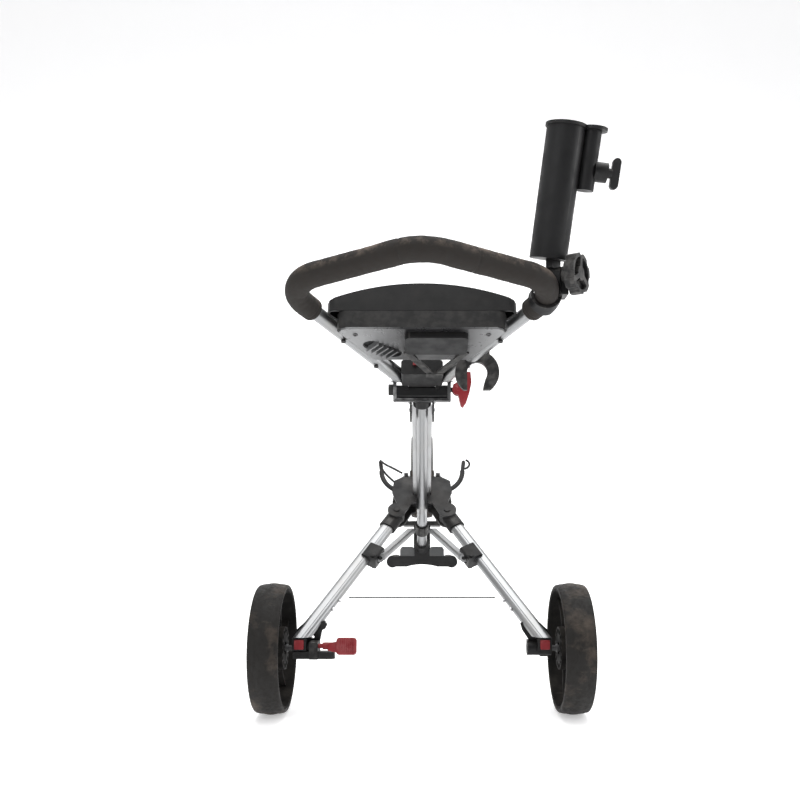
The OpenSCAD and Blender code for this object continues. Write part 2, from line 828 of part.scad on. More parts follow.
// Bolts that hold the console and the head to the handle's arms
module arm_bolts(r, h) {
    on_handle() mirror([0, 1, 0]) for (x = [-1, 1], along = [85, 200])
        mirror([x < 0 ? 1 : 0, 0, 0]) translate(concat(arm_start + along * arm_dir, -handle_tube_d / 2 - 2))
            cylinder(r = r, h = h, center = true);
}

module handle_bolts() {
    color(charcoal) arm_bolts(4.5, 3.6);
}

// Hook on the right arm that a bag strap or a towel hangs on
hook_r = 43;
hook_at = [108, -165, 708];
module arm_hook() {
    color(charcoal) difference() {
        at(hook_at) rotate([90, 0, 0]) linear_extrude(16, center = true) difference() {
            union() {
                circle(r = hook_r);
                translate([-4, hook_r - 6]) round_rect(56, 26, 8);
            }
            circle(r = 20);
            polygon([[-20, 0], [20, 0], [13, -24], [8, -60], [-19, -60]]);
            translate([0, -80]) square([120, 92], center = true);
        }
        on_handle() mirror([0, 1, 0]) straight(arm_start, arm_start + 260 * arm_dir, handle_tube_d / 2 + gap);
        arm_bolts(4.5 + gap, 5);
    }
}

button_s = 74;
button_n = 7;
button_x = -14;
module release_button() {
    color(red) on_handle(button_s, button_n, button_x) box([8, 16, 10]);
}

// ---------------------------------------------------------------- console
tray_deep = 33;
console_near = 287;
console_far = 172;
module console_outline(near_half, far_half, r = 14) {
    c = r * (1 - cos(45));
    polygon([[-far_half, -console_far], [far_half, -console_far], [near_half, r - console_near],
        [near_half - c, c - console_near], [near_half - r, -console_near], [r - near_half, -console_near],
        [c - near_half, c - console_near], [-near_half, r - console_near]]);
}

module console_tray() {
    color(black) on_handle() difference() {
        union() {
            translate([0, 0, -tray_deep]) linear_extrude(tray_deep - 0.5) console_outline(150, 92);
            translate([26, -246, -tray_deep - 16]) linear_extrude(17) round_rect(112, 62, 10);
            for (x = [-1, 1]) translate([x * 122, -214, -8]) box([46, 18, 10]);
        }
        translate([0, -232, 4 - tray_deep]) linear_extrude(tray_deep) round_rect(200, 100, 12);
        translate([26, -246, -tray_deep - 12]) linear_extrude(20) round_rect(104, 54, 8);
        mirror([0, 1, 0]) for (x = [0, 1]) mirror([x, 0, 0])
            straight(arm_start, arm_start + 300 * arm_dir, handle_tube_d / 2 + gap);
    }
}

// Pale plate under the tray, with an oval window and ribs that hold tees
rack_at = [-72, -214];
rack_turn = 38;
module console_plate() {
    plate = 4;
    color(grey) on_handle() difference() {
        translate([0, 0, -tray_deep - plate - gap]) {
            linear_extrude(plate) difference() {
                console_outline(146, 88);
                translate(rack_at) rotate([0, 0, rack_turn]) oval(80, 32);
            }
            for (i = [-2 : 2]) translate(rack_at) rotate([0, 0, rack_turn]) translate([i * 11, 0, 0])
                box([3, 36, 12]);
        }
        translate([0, 0, -tray_deep]) linear_extrude(40) console_outline(150.2, 92.2);
        translate([26, -246, -60]) linear_extrude(60) round_rect(112.4, 62.4, 10);
    }
}

lid_r = 430;
lid_rise = 55;
module lid_dome(drop) {
    translate([0, 0, lid_rise - drop - lid_r]) rotate([90, 0, 0]) cylinder(r = lid_r, h = 400, $fn = 160);
}

module console_lid() {
    wall = 3;
    color(black) {
        on_handle() difference() {
            intersection() {
                linear_extrude(60) console_outline(168, 98);
                lid_dome(0);
            }
            intersection() {
                translate([0, 0, -1]) linear_extrude(60) console_inside(wall);
                lid_dome(wall);
            }
        }
        on_handle(hinge_s, hinge_n) x_rod(3, 150);
    }
}

// The lid turns on a barrel along its far edge
hinge_s = 170;
hinge_n = 4;

module console_inside(wall) {
    difference() {
        console_outline(168 - 1.4 * wall, 98 - 1.4 * wall, 12);
        translate([0, wall / 2 - console_near]) square([400, 2 * wall], center = true);
        translate([0, -console_far]) square([400, 2 * wall], center = true);
    }
}

module stay(p, q, w, t) {
    d = q - p;
    translate(p) rotate([0, 0, ang([d[0], d[1]])]) rotate([0, -atan2(d[2], norm([d[0], d[1]])), 0])
        translate([norm(d) / 2, 0, 0]) box([norm(d), w, t]);
}

module console_stays() {
    color(charcoal) on_handle() difference() {
        union() {
            stay([-28, -214, -43], [17, -86, -22], 13, 4);
            stay([80, -214, -43], [33, -86, -22], 13, 4);
            translate([25, -84, -22]) box([34, 16, 8]);
        }
        translate([26, -246, -60]) linear_extrude(60) round_rect(112.4, 62.4, 10);
        translate([0, 0, -tray_deep - 4.3]) linear_extrude(30) console_outline(150, 92);
    }
}

// ---------------------------------------------------------------- umbrella holder
umbrella_foot = [215, -378, 870];
umbrella_tilt = 6.4;
umbrella_lean = 12;
tilt_pivot = [224, -378, 838];
tilt_turn = 35;
channel_x = umbrella_d / 2 + 13;
channel_l = 100;
screw_z = umbrella_l - 68;
module on_umbrella(z = 0) {
    at(umbrella_foot) rotate([umbrella_lean, 0, 0]) rotate([0, umbrella_tilt, 0])
        translate([0, 0, z]) children();
}

// Children's +X runs along the tilt joint's axis, from the holder to the knob
module on_tilt(x = 0) {
    at(tilt_pivot) rotate([0, 0, -tilt_turn]) translate([x, 0, 0]) children();
}

// Holder with its side channel, and the lug it tilts on
module umbrella_tube() {
    color(black) difference() {
        union() {
            on_umbrella() {
                cylinder(d = umbrella_d, h = umbrella_l);
                translate([0, 0, umbrella_l - 5]) cylinder(d = umbrella_d + 5, h = 5);
                translate([channel_x, 0, umbrella_l - channel_l]) cylinder(r = 15, h = channel_l);
                translate([channel_x + 2, 0, umbrella_l - 5]) cylinder(r = 22, h = 5);
                translate([channel_x + 22, 0, screw_z]) x_rod(16, 22);
            }
            on_tilt() {
                x_rod(9, 12);
                translate([0, 0, 20]) box([12, 18, 40]);
                translate([0, 0, 27]) box([12, 32, 26]);
            }
        }
        on_umbrella(8) cylinder(d = umbrella_bore_d, h = umbrella_l);
        on_umbrella(umbrella_l - channel_l + 8) translate([channel_x, 0, 0]) cylinder(r = 11, h = channel_l);
        on_umbrella(screw_z) translate([channel_x + 30, 0, 0]) x_rod(4 + run, 60);
        on_tilt() x_rod(5 + run, 60);
    }
}

// Clamp that hugs the outer corner of the grip and carries the holder's tilt joint
module umbrella_clamp() {
    color(black) difference() {
        union() {
            at([222, -376, 822]) box([50, 40, 32]);
            for (x = [-13, 13]) on_tilt(x) {
                x_rod(16, 13.6);
                translate([0, 0, -14]) box([13.6, 32, 30]);
            }
            on_loop() on_corner() rotate([0, 0, 6]) rotate_extrude(angle = 22, $fn = 96)
                translate([corner_r, 0]) circle(r = foam_d / 2 + 5);
        }
        loop(foam_d / 2 + gap, foam_from - 40);
        on_tilt() x_rod(18, 12.4);
        on_tilt() x_rod(5 + run, 80);
        on_tilt(30) x_rod(14, 20);
        on_tilt(43) x_rod(35, 20);
        at([216, -440, 852]) box([120, 60, 50]);
    }
}

// Big round knob that locks the tilt
module clamp_knob() {
    color(charcoal) on_tilt() difference() {
        union() {
            translate([10, 0, 0]) x_rod(5, 60);
            translate([28, 0, 0]) x_rod(13, 16);
            translate([43, 0, 0]) x_rod(34, 18);
        }
        for (i = [0 : 6]) rotate([i * 360 / 7, 0, 0]) translate([43, 0, 39]) x_rod(9, 30);
        translate([50, 0, 0]) difference() {
            x_rod(27, 12);
            x_rod(12, 12);
            for (i = [0 : 2]) rotate([i * 120, 0, 0]) translate([0, 0, 15]) box([12, 8, 30]);
        }
    }
}

// Thumb-screw that grips the umbrella's shaft
module wing_screw() {
    color(charcoal) on_umbrella(screw_z) translate([channel_x, 0, 0]) rotate([0, 90, 0]) {
        translate([0, 0, 12]) cylinder(r = 4, h = 32);
        translate([0, 0, 33.4]) cylinder(r = 8, h = 8);
        translate([0, 0, 47]) rotate([90, 0, 0]) linear_extrude(10, center = true) oval(50, 14);
    }
}

main_tube();
spine_rail();
rail_bolts();
top_hub();
hub_yoke();
handle_pin();
cam_rod();
upper_bag_bracket();
lower_hub();
frame_pins();
bag_cradle();
elastic_cords();
base_rest();
base_pads();
strut_slider();
brake_cable();
cam_lever();
leg(-1);  // left_leg
leg_collar(-1);  // left_leg_collar
leg_block(-1);  // left_leg_block
bracket(-1);  // left_bracket
leg_bolts(-1);  // left_leg_bolts
axle(-1);  // left_axle
strut(-1);  // left_strut
wheel_button(-1);  // left_wheel_button
rear_tyre(-1);  // left_tyre
rear_rim(-1);  // left_rim
bearings(-1);  // left_bearings
brake_pedal();
brake_pin(-1);  // left_brake_pin
leg(1);  // right_leg
leg_collar(1);  // right_leg_collar
leg_block(1);  // right_leg_block
bracket(1);  // right_bracket
leg_bolts(1);  // right_leg_bolts
axle(1);  // right_axle
strut(1);  // right_strut
wheel_button(1);  // right_wheel_button
rear_tyre(1);  // right_tyre
rear_rim(1);  // right_rim
bearings(1);  // right_bearings
brake_pin(1);  // right_brake_pin
front_fork();
front_axle();
front_tyre();
front_rim();
handle_head();
handle_tube();
foam_grip();
handle_bolts();
arm_hook();
release_button();
console_tray();
console_plate();
console_lid();
console_stays();
umbrella_clamp();
umbrella_tube();
clamp_knob();
wing_screw();
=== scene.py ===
import json
import math

import bmesh
import bpy
from mathutils import Matrix, Vector, noise


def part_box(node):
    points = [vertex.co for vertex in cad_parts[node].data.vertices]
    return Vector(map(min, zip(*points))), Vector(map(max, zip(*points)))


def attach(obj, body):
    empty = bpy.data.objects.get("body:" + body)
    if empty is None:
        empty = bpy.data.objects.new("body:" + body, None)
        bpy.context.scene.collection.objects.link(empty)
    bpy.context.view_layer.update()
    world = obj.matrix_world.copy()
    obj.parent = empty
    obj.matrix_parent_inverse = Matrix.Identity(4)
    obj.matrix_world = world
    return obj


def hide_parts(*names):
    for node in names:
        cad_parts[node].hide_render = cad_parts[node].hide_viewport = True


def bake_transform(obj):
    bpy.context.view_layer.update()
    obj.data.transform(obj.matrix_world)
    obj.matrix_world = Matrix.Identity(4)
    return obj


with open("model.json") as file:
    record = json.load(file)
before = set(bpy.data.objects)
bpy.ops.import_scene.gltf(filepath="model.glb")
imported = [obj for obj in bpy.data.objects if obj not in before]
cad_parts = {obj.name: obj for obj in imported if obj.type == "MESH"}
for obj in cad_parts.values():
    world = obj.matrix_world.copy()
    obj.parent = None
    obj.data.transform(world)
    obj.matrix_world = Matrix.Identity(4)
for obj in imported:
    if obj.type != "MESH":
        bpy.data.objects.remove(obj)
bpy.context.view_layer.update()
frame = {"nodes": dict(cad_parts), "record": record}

# Lengths below are in millimetres, as in the CAD source, and points are in its frame:
# X to the user's right, Y forward from the rear axle, Z up from the floor.
MM = 0.001
axle_y = (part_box("left_axle")[0].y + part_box("left_axle")[1].y) / 2 / MM


def at(x, y, z):
    """A point in metres in the row frame."""
    return Vector((x, axle_y + y, z)) * MM


# ---------------------------------------------------------------- materials
class Nodes:
    """A material's node tree, with short calls for the nodes used here."""

    def __init__(self, name, rough, metal=0.0):
        self.material = bpy.data.materials.new(name)
        self.material.use_nodes = True
        self.tree = self.material.node_tree
        self.shader = self.tree.nodes["Principled BSDF"]
        self.shader.inputs["Roughness"].default_value = rough
        self.shader.inputs["Metallic"].default_value = metal
        self.coords = self.tree.nodes.new("ShaderNodeTexCoord").outputs["Object"]

    def link(self, source, target):
        self.tree.links.new(source, target)

    def math(self, operation, a, b=0.0, clamp=False):
        node = self.tree.nodes.new("ShaderNodeMath")
        node.operation = operation
        node.use_clamp = clamp
        for value, socket in ((a, node.inputs[0]), (b, node.inputs[1])):
            if isinstance(value, (int, float)):
                socket.default_value = value
            else:
                self.link(value, socket)
        return node.outputs[0]

    def noise(self, scale, detail=3.0, rough=0.55, coords=None, stretch=None):
        node = self.tree.nodes.new("ShaderNodeTexNoise")
        node.inputs["Scale"].default_value = scale
        node.inputs["Detail"].default_value = detail
        node.inputs["Roughness"].default_value = rough
        source = coords or self.coords
        if stretch:
            mapping = self.tree.nodes.new("ShaderNodeMapping")
            mapping.inputs["Scale"].default_value = stretch
            self.link(source, mapping.inputs["Vector"])
            source = mapping.outputs["Vector"]
        self.link(source, node.inputs["Vector"])
        return node.outputs["Fac"]

    def ramp(self, source, low, high, from_at=0.35, to_at=0.65):
        """low where source is under from_at, high over to_at; both are numbers or colours."""
        node = self.tree.nodes.new("ShaderNodeValToRGB")
        for element, place, value in zip(node.color_ramp.elements, (from_at, to_at), (low, high)):
            element.position = place
            element.color = (value, value, value, 1) if isinstance(value, (int, float)) else (*value, 1)
        self.link(source, node.inputs["Fac"])
        return node.outputs["Color"]

    def mix(self, share, a, b):
        node = self.tree.nodes.new("ShaderNodeMix")
        node.data_type = "RGBA"
        for value, socket in ((share, node.inputs["Factor"]), (a, node.inputs[6]), (b, node.inputs[7])):
            if isinstance(value, (int, float)):
                socket.default_value = value
            elif isinstance(value, tuple):
                socket.default_value = (*value, 1)
            else:
                self.link(value, socket)
        return node.outputs[2]

    def bump(self, *layers):
        """Each layer is (height, strength, distance in mm)."""
        last = None
        for height, strength, distance in layers:
            node = self.tree.nodes.new("ShaderNodeBump")
            node.inputs["Strength"].default_value = strength
            node.inputs["Distance"].default_value = distance * MM
            self.link(height, node.inputs["Height"])
            if last:
                self.link(last, node.inputs["Normal"])
            last = node.outputs["Normal"]
        self.link(last, self.shader.inputs["Normal"])

    def edges(self, from_at=0.52, to_at=0.60):
        """White on raised edges."""
        geometry = self.tree.nodes.new("ShaderNodeNewGeometry")
        return self.ramp(geometry.outputs["Pointiness"], 0.0, 1.0, from_at, to_at)

    def facing_up(self):
        geometry = self.tree.nodes.new("ShaderNodeNewGeometry")
        split = self.tree.nodes.new("ShaderNodeSeparateXYZ")
        self.link(geometry.outputs["Normal"], split.inputs[0])
        return self.math("MAXIMUM", split.outputs["Z"], 0.0)

    def paint(self, colour, rough=None):
        self.link(colour, self.shader.inputs["Base Color"])
        if rough:
            self.link(rough, self.shader.inputs["Roughness"])
        return self.material


DUST = (0.30, 0.265, 0.225)


def moulded(name, colour, worn, rough=0.46, dust=0.25, grain=0.3, gloss=0.25):
    """Moulded plastic: fine grain, uneven gloss, paler scuffed edges and a film of dust on top."""
    n = Nodes(name, rough)
    n.shader.inputs["Specular IOR Level"].default_value = gloss
    tone = n.mix(n.ramp(n.noise(9), 0.0, 1.0, 0.3, 0.7), tuple(c * 0.8 for c in colour), tuple(c * 1.3 for c in colour))
    scuffs = n.math("MULTIPLY", n.edges(), n.ramp(n.noise(60), 0.1, 0.9, 0.4, 0.62))
    scuffed = n.mix(n.math("MULTIPLY", scuffs, 0.55), tone, worn)
    film = n.math("MULTIPLY", n.facing_up(), n.ramp(n.noise(26, 6), 0.0, 1.0, 0.38, 0.72))
    dusty = n.mix(n.math("MULTIPLY", film, dust), scuffed, DUST)
    n.bump((n.noise(1300, 2), grain, 0.12), (n.noise(14, 2), 0.10, 0.6))
    return n.paint(dusty, n.ramp(n.noise(34, 4), rough - 0.09, rough + 0.16))


def brushed(name, along, colour, rough=0.3, shade_from=0.45):
    """Satin aluminium with fine lines along one direction, faint stains, bright corners and painted shade that darkens
    its edges as they turn away from the view.
    """
    n = Nodes(name, rough, 1.0)
    along = Vector(along).normalized()
    across = along.orthogonal().normalized()
    third = along.cross(across)
    combine = n.tree.nodes.new("ShaderNodeCombineXYZ")
    for socket, direction, scale in zip(combine.inputs, (along, across, third), (3.0, 900.0, 900.0)):
        dot = n.tree.nodes.new("ShaderNodeVectorMath")
        dot.operation = "DOT_PRODUCT"
        dot.inputs[1].default_value = direction * scale
        n.link(n.coords, dot.inputs[0])
        n.link(dot.outputs["Value"], socket)
    lines = n.noise(1.0, 2, coords=combine.outputs[0])
    stains = n.ramp(n.noise(16, 5), 0.0, 1.0, 0.50, 0.78)
    tone = n.mix(lines, tuple(c * 0.90 for c in colour), tuple(min(1, c * 1.06) for c in colour))
    stains_and_painted_edge_shade = n.mix(n.math("MULTIPLY", stains, 0.32), tone, (0.42, 0.40, 0.37))
    # Painted shade: the colour darkens towards dark grey where the surface is seen edge-on.
    edge_on = n.tree.nodes.new("ShaderNodeLayerWeight")
    edge_on.inputs["Blend"].default_value = 0.5
    rim_shade = n.ramp(edge_on.outputs["Facing"], 0.0, 0.75, shade_from, 0.98)
    stains_and_painted_edge_shade = n.mix(rim_shade, stains_and_painted_edge_shade, (0.13, 0.13, 0.135))
    n.bump((lines, 0.10, 0.08), (n.noise(240, 2), 0.03, 0.1))
    return n.paint(stains_and_painted_edge_shade, n.math("ADD", n.ramp(lines, rough - 0.06, rough + 0.10), n.math("MULTIPLY", stains, 0.12)))


def worn_tread(name):
    """Dusty rubber: dark, with brown scuffed patches and fine cracks."""
    n = Nodes(name, 0.62)
    n.shader.inputs["Specular IOR Level"].default_value = 0.25
    broad = n.noise(11, 6, 0.62)
    fine = n.noise(120, 5, 0.7)
    patch = n.ramp(broad, 0.0, 1.0, 0.50, 0.64)
    base = n.mix(fine, (0.006, 0.0055, 0.005), (0.017, 0.0152, 0.0138))
    dusty = n.mix(n.math("MULTIPLY", patch, 0.6), base, (0.085, 0.066, 0.052))
    scraped = n.mix(n.ramp(n.noise(46, 6, 0.7, stretch=(0.4, 1, 1)), 0.0, 0.35, 0.60, 0.76), dusty, (0.12, 0.10, 0.08))
    n.bump((fine, 0.35, 0.5), (n.noise(1400, 2), 0.35, 0.15), (broad, 0.2, 0.8))
    return n.paint(scraped, n.ramp(fine, 0.50, 0.80))


def foam_worn_and_highlit(name):
    """Closed-cell foam: small pores and paler patches on top, which are partly wear and partly a painted highlight."""
    n = Nodes(name, 0.86)
    n.shader.inputs["Specular IOR Level"].default_value = 0.3
    pores = n.tree.nodes.new("ShaderNodeTexVoronoi")
    pores.inputs["Scale"].default_value = 900
    n.link(n.coords, pores.inputs["Vector"])
    cells = n.math("SUBTRACT", 1.0, pores.outputs["Distance"])
    skin = n.noise(75, 6, 0.65)
    base = n.mix(skin, (0.010, 0.0085, 0.0075), (0.030, 0.026, 0.023))
    # Paler patches only on upward faces: partly real wear, partly a painted highlight of the light from above.
    wear = n.math("MULTIPLY", n.ramp(n.noise(24, 6, 0.7), 0.0, 1.0, 0.47, 0.60), n.facing_up())
    worn = n.mix(n.math("MULTIPLY", wear, 0.9), base, (0.17, 0.132, 0.105))
    n.bump((cells, 0.35, 0.25), (skin, 0.4, 0.7))
    return n.paint(worn, n.ramp(skin, 0.74, 0.93))


def braided(name):
    """Elastic cord: a woven sheath in two tones."""
    n = Nodes(name, 0.8)
    weave = n.tree.nodes.new("ShaderNodeTexWave")
    weave.inputs["Scale"].default_value = 420
    weave.inputs["Distortion"].default_value = 1.5
    weave.wave_type = "BANDS"
    weave.bands_direction = "DIAGONAL"
    n.link(n.coords, weave.inputs["Vector"])
    n.bump((weave.outputs["Fac"], 0.7, 0.4))
    return n.paint(n.mix(weave.outputs["Fac"], (0.008, 0.008, 0.008), (0.05, 0.05, 0.048)))


def satin_plate(name):
    """Pale satin plate with painted shade that darkens it towards its middle, and patches worn by rubbing."""
    n = Nodes(name, 0.34, 0.35)
    split = n.tree.nodes.new("ShaderNodeSeparateXYZ")
    n.link(n.coords, split.inputs[0])
    # Painted shade: near black across the middle of the plate, rising to pale grey towards its sides.
    across = n.math("ABSOLUTE", n.math("SUBTRACT", split.outputs["X"], 0.015))
    shade = n.ramp(n.math("MULTIPLY", across, 8.0), (0.016, 0.016, 0.017), (0.25, 0.253, 0.257), 0.40, 1.0)
    rubbed_and_painted_shade = n.mix(n.ramp(n.noise(12, 3), 0.0, 0.3, 0.45, 0.8), shade, (0.16, 0.16, 0.16))
    n.bump((n.noise(900, 2), 0.12, 0.1))
    return n.paint(rubbed_and_painted_shade, n.ramp(n.noise(40, 3), 0.26, 0.44))


def steel(name, rough=0.34, bright=1.0):
    """Plated steel with a little tarnish."""
    n = Nodes(name, rough, 1.0)
    tarnish = n.ramp(n.noise(55, 6), 0.0, 1.0, 0.52, 0.75)
    colour = n.mix(n.math("MULTIPLY", tarnish, 0.5), tuple(bright * c for c in (0.62, 0.62, 0.63)),
                   tuple(bright * c for c in (0.26, 0.23, 0.19)))
    n.bump((n.noise(700, 2), 0.08, 0.1))
    return n.paint(colour, n.ramp(n.noise(90, 3), rough - 0.08, rough + 0.15))


main_slope = math.radians(38)
down_tube = (0, math.cos(main_slope), -math.sin(main_slope))
silver = (0.335, 0.34, 0.345)

BLACK = moulded("black_plastic", (0.0075, 0.0075, 0.008), (0.09, 0.087, 0.082), dust=0.08)
CHARCOAL = moulded("charcoal_plastic", (0.015, 0.015, 0.0155), (0.13, 0.125, 0.12), rough=0.5, dust=0.10)
LID = moulded("lid_plastic", (0.006, 0.006, 0.0063), (0.07, 0.07, 0.067), rough=0.42, dust=0.05)
RIM = moulded("rim_plastic", (0.009, 0.0087, 0.0083), (0.09, 0.08, 0.07), rough=0.72, dust=0.08, gloss=0.06)
GREY = satin_plate("satin_plate")
YOKE = moulded("yoke_plate", (0.020, 0.020, 0.021), (0.50, 0.50, 0.50), rough=0.34, dust=0.12, grain=0.12)
PAD = moulded("pad_rubber", (0.085, 0.087, 0.088), (0.45, 0.45, 0.44), rough=0.6, dust=0.3)
BEAD = moulded("cord_bead_plastic", (0.55, 0.48, 0.36), (0.75, 0.70, 0.60), rough=0.5)
RED = moulded("red_plastic", (0.22, 0.017, 0.022), (0.50, 0.20, 0.20), rough=0.42, dust=0.16, grain=0.2)
TYRE = worn_tread("tyre_rubber")
FOAM = foam_worn_and_highlit("grip_foam")
CORD = braided("braided_cord")
STEEL = steel("plated_steel")
AXLE = steel("dull_steel", 0.5, 0.22)
CABLE = moulded("cable_sheath", (0.035, 0.034, 0.033), (0.12, 0.12, 0.12), rough=0.6, dust=0.1)
TUBE = brushed("tube_aluminium", down_tube, (0.36, 0.365, 0.37), 0.36, 0.66)
RAIL = brushed("rail_aluminium", down_tube, (0.52, 0.525, 0.53), 0.38, 0.66)
LEG_WAY = {side: (side * 190, -241, -250) for side in (-1, 1)}
LEG_METAL = {side: brushed(f"leg_aluminium_{'left' if side < 0 else 'right'}", LEG_WAY[side], silver, 0.32)
             for side in (-1, 1)}
STRUT_METAL = brushed("strut_aluminium", (0.55, 0.6, -0.3), (0.50, 0.505, 0.51), 0.34)

SLOT_MATERIAL = {
    "aluminium_tube": TUBE, "steel": STEEL, "grey_plate": GREY, "pad_grey": PAD, "black_plastic": BLACK,
    "charcoal_plastic": CHARCOAL, "cord": CORD, "red_plastic": RED, "tyre": TYRE, "foam": FOAM,
}
NODE_MATERIAL = {
    "console_lid": LID, "hub_yoke": YOKE, "left_rim": RIM, "right_rim": RIM, "front_rim": RIM,
    "left_axle": AXLE, "right_axle": AXLE, "console_stays": BLACK,
    "left_strut": STRUT_METAL, "right_strut": STRUT_METAL, "spine_rail": RAIL, "brake_cable": CABLE, "frame_pins": BLACK,
}

# ---------------------------------------------------------------- CAD pieces that stay
record = frame["record"]
node_slot = {row["node"]: row["material_slot"] for row in record["subparts"]}
EDGE = {"console_lid": 2.0, "console_tray": 1.6, "umbrella_tube": 1.0, "lower_hub": 1.2, "top_hub": 1.4,
        "base_rest": 1.8, "base_pads": 2.5, "cam_lever": 1.6, "brake_pedal": 1.6, "left_bracket": 1.2,
        "right_bracket": 1.2, "arm_hook": 2.0, "clamp_knob": 1.6, "handle_head": 1.6, "front_fork": 1.6,
        "left_leg_block": 1.6, "right_leg_block": 1.6, "upper_bag_bracket": 1.6, "wing_screw": 1.6,
        "left_rim": 0.8, "right_rim": 0.8, "front_rim": 0.8, "left_wheel_button": 1.4, "right_wheel_button": 1.4}


def soften(obj, width):
    """Rounds the sharp edges of a shape by width mm, so that they catch the light."""
    weld = obj.modifiers.new("weld", "WELD")
    weld.merge_threshold = 0.00001
    bevel = obj.modifiers.new("round", "BEVEL")
    bevel.width = width * MM
    bevel.segments = 2
    bevel.limit_method = "ANGLE"
    bevel.angle_limit = math.radians(32)
    bevel.use_clamp_overlap = True
    bevel.miter_outer = "MITER_ARC"
    normals = obj.modifiers.new("normals", "WEIGHTED_NORMAL")
    normals.weight = 80
    for face in obj.data.polygons:
        face.use_smooth = True


for name, obj in frame["nodes"].items():
    obj.data.materials.clear()
    obj.data.materials.append(NODE_MATERIAL.get(name) or SLOT_MATERIAL[node_slot[name]])
    soften(obj, EDGE.get(name, 0.7))


for name in ("left_leg_bolts", "right_leg_bolts"):
    bolts = frame["nodes"][name]
    bolts.data.materials.append(BLACK)
    block = (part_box(name.replace("bolts", "block"))[0].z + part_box(name.replace("bolts", "block"))[1].z) / 2
    for face in bolts.data.polygons:
        face.material_index = 1 if abs(face.center.z - block) < 0.06 else 0


# ---------------------------------------------------------------- mesh helpers
def mesh_piece(name, vertices, faces, material, smooth=True):
    data = bpy.data.meshes.new(name)
    data.from_pydata([tuple(v) for v in vertices], [], faces)
    data.materials.append(material)
    for face in data.polygons:
        face.use_smooth = smooth
    data.update()
    obj = bpy.data.objects.new(name, data)
    bpy.context.scene.collection.objects.link(obj)
    return obj


def axes_to(z_way):
    """Rotation whose Z runs along z_way."""
    z = Vector(z_way).normalized()
    y = Vector((0, 0, 1)) if abs(z.z) < 0.9 else Vector((0, 1, 0))
    y = (y - z * y.dot(z)).normalized()
    return Matrix((y.cross(z), y, z)).transposed()


def revolve(name, profile, centre, z_way, material, steps=160, wave=None):
    """Turns a closed profile of (radius, along) points in mm about an axis."""
    turn = axes_to(z_way)
    vertices, count = [], len(profile)
    for i in range(steps):
        a = 2 * math.pi * i / steps
        for radius, along in profile:
            r = radius + (wave(a, radius, along) if wave else 0.0)
            vertices.append(centre + turn @ Vector((r * math.cos(a), r * math.sin(a), along)) * MM)
    faces = [(i * count + j, i * count + (j + 1) % count,
              (i + 1) % steps * count + (j + 1) % count, (i + 1) % steps * count + j)
             for i in range(steps) for j in range(count)]
    return mesh_piece(name, vertices, faces, material)


def sweep(name, path, radius, material, sides=40, first_up=(0, 0, 1)):
    """Round tube along a path of points in metres; radius(i, angle) is in mm. Both ends are closed."""
    vertices, count = [], len(path)
    up = Vector(first_up)
    for i, point in enumerate(path):
        way = (path[min(i + 1, count - 1)] - path[max(i - 1, 0)]).normalized()
        up = (up - way * up.dot(way)).normalized()
        side = way.cross(up)
        for k in range(sides):
            a = 2 * math.pi * k / sides
            vertices.append(point + (up * math.cos(a) + side * math.sin(a)) * radius(i, a) * MM)
    faces = [(i * sides + k, i * sides + (k + 1) % sides, (i + 1) * sides + (k + 1) % sides, (i + 1) * sides + k)
             for i in range(count - 1) for k in range(sides)]
    faces += [tuple(reversed(range(sides))), tuple(range((count - 1) * sides, count * sides))]
    return mesh_piece(name, vertices, faces, material)


# ---------------------------------------------------------------- tyres
def tyre(side, node, centre, outer, width, thick, shoulder):
    """Tyre with a slightly crowned tread, moulded shoulder lines and a bead ring on each wall."""
    half, inner, crown = width / 2, outer - thick, 2.0
    bead, line = 2.2, 0.9

    def half_profile():
        points = [(inner, half - 1.2), (inner + 0.8, half - 0.2), (inner + bead, half - 0.2),
                  (inner + bead + line, half - 1.5), (inner + bead + 2 * line, half - 0.3)]
        wall = outer - bead - 2 * line - inner - crown
        points += [(inner + bead + 2 * line + wall * math.sin(a), half - 0.3 - shoulder + shoulder * math.cos(a))
                   for a in (math.radians(i * 9) for i in range(1, 11))]
        points += [(outer - crown * (1 - share) ** 2, (half - shoulder) * (1 - share))
                   for share in (0.15, 0.4, 0.7)]
        return points

    upper = half_profile()
    profile = upper + [(outer, 0)] + [(r, -z) for r, z in reversed(upper)]

    def wear(a, r, along):
        if r < outer - 4:
            return 0.0
        p = Vector((math.cos(a) * 5, math.sin(a) * 5, along / 14 + side))
        return -0.45 - 0.45 * noise.noise(p)

    piece = revolve(node + "_shell", profile, centre, (1, 0, 0), TYRE, 192, wear)
    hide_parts(node)
    return piece


track = 640
for side, name in ((-1, "left"), (1, "right")):
    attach(tyre(side, name + "_tyre", at(side * track / 2, 0, 140), 140, 63, 12, 17), name + "_wheel")
fork_wheel = at(0, 497, 522.5)
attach(tyre(0, "front_tyre", fork_wheel, 115, 58, 12, 15), "front_wheel")

# ---------------------------------------------------------------- legs
leg_w, leg_t, leg_wall = 33, 22, 1.8
leg_l = Vector((190, -241, -250)).length
fold_n = Vector((1, 0, 0)).cross(Vector((190, -241, -250))).normalized()


def leg_profile(w, t, groove):
    """Flat oval, with a shallow V groove near the inner edge of each flat side."""
    r, flat = t / 2, (w - t) / 2
    points = [(flat + r * math.cos(a), r * math.sin(a)) for a in
              (math.radians(-90 + 180 * i / 14) for i in range(15))]
    if groove:
        at_x, half, deep = 5.0, 1.5, 1.3
        upper = [(at_x + half, r), (at_x + half * 0.5, r - deep), (at_x - half * 0.5, r - deep), (at_x - half, r)]
        points += upper
    points += [(-flat + r * math.cos(a), r * math.sin(a)) for a in
               (math.radians(90 + 180 * i / 14) for i in range(15))]
    if groove:
        points += [(x, -y) for x, y in reversed(upper)]
    return points


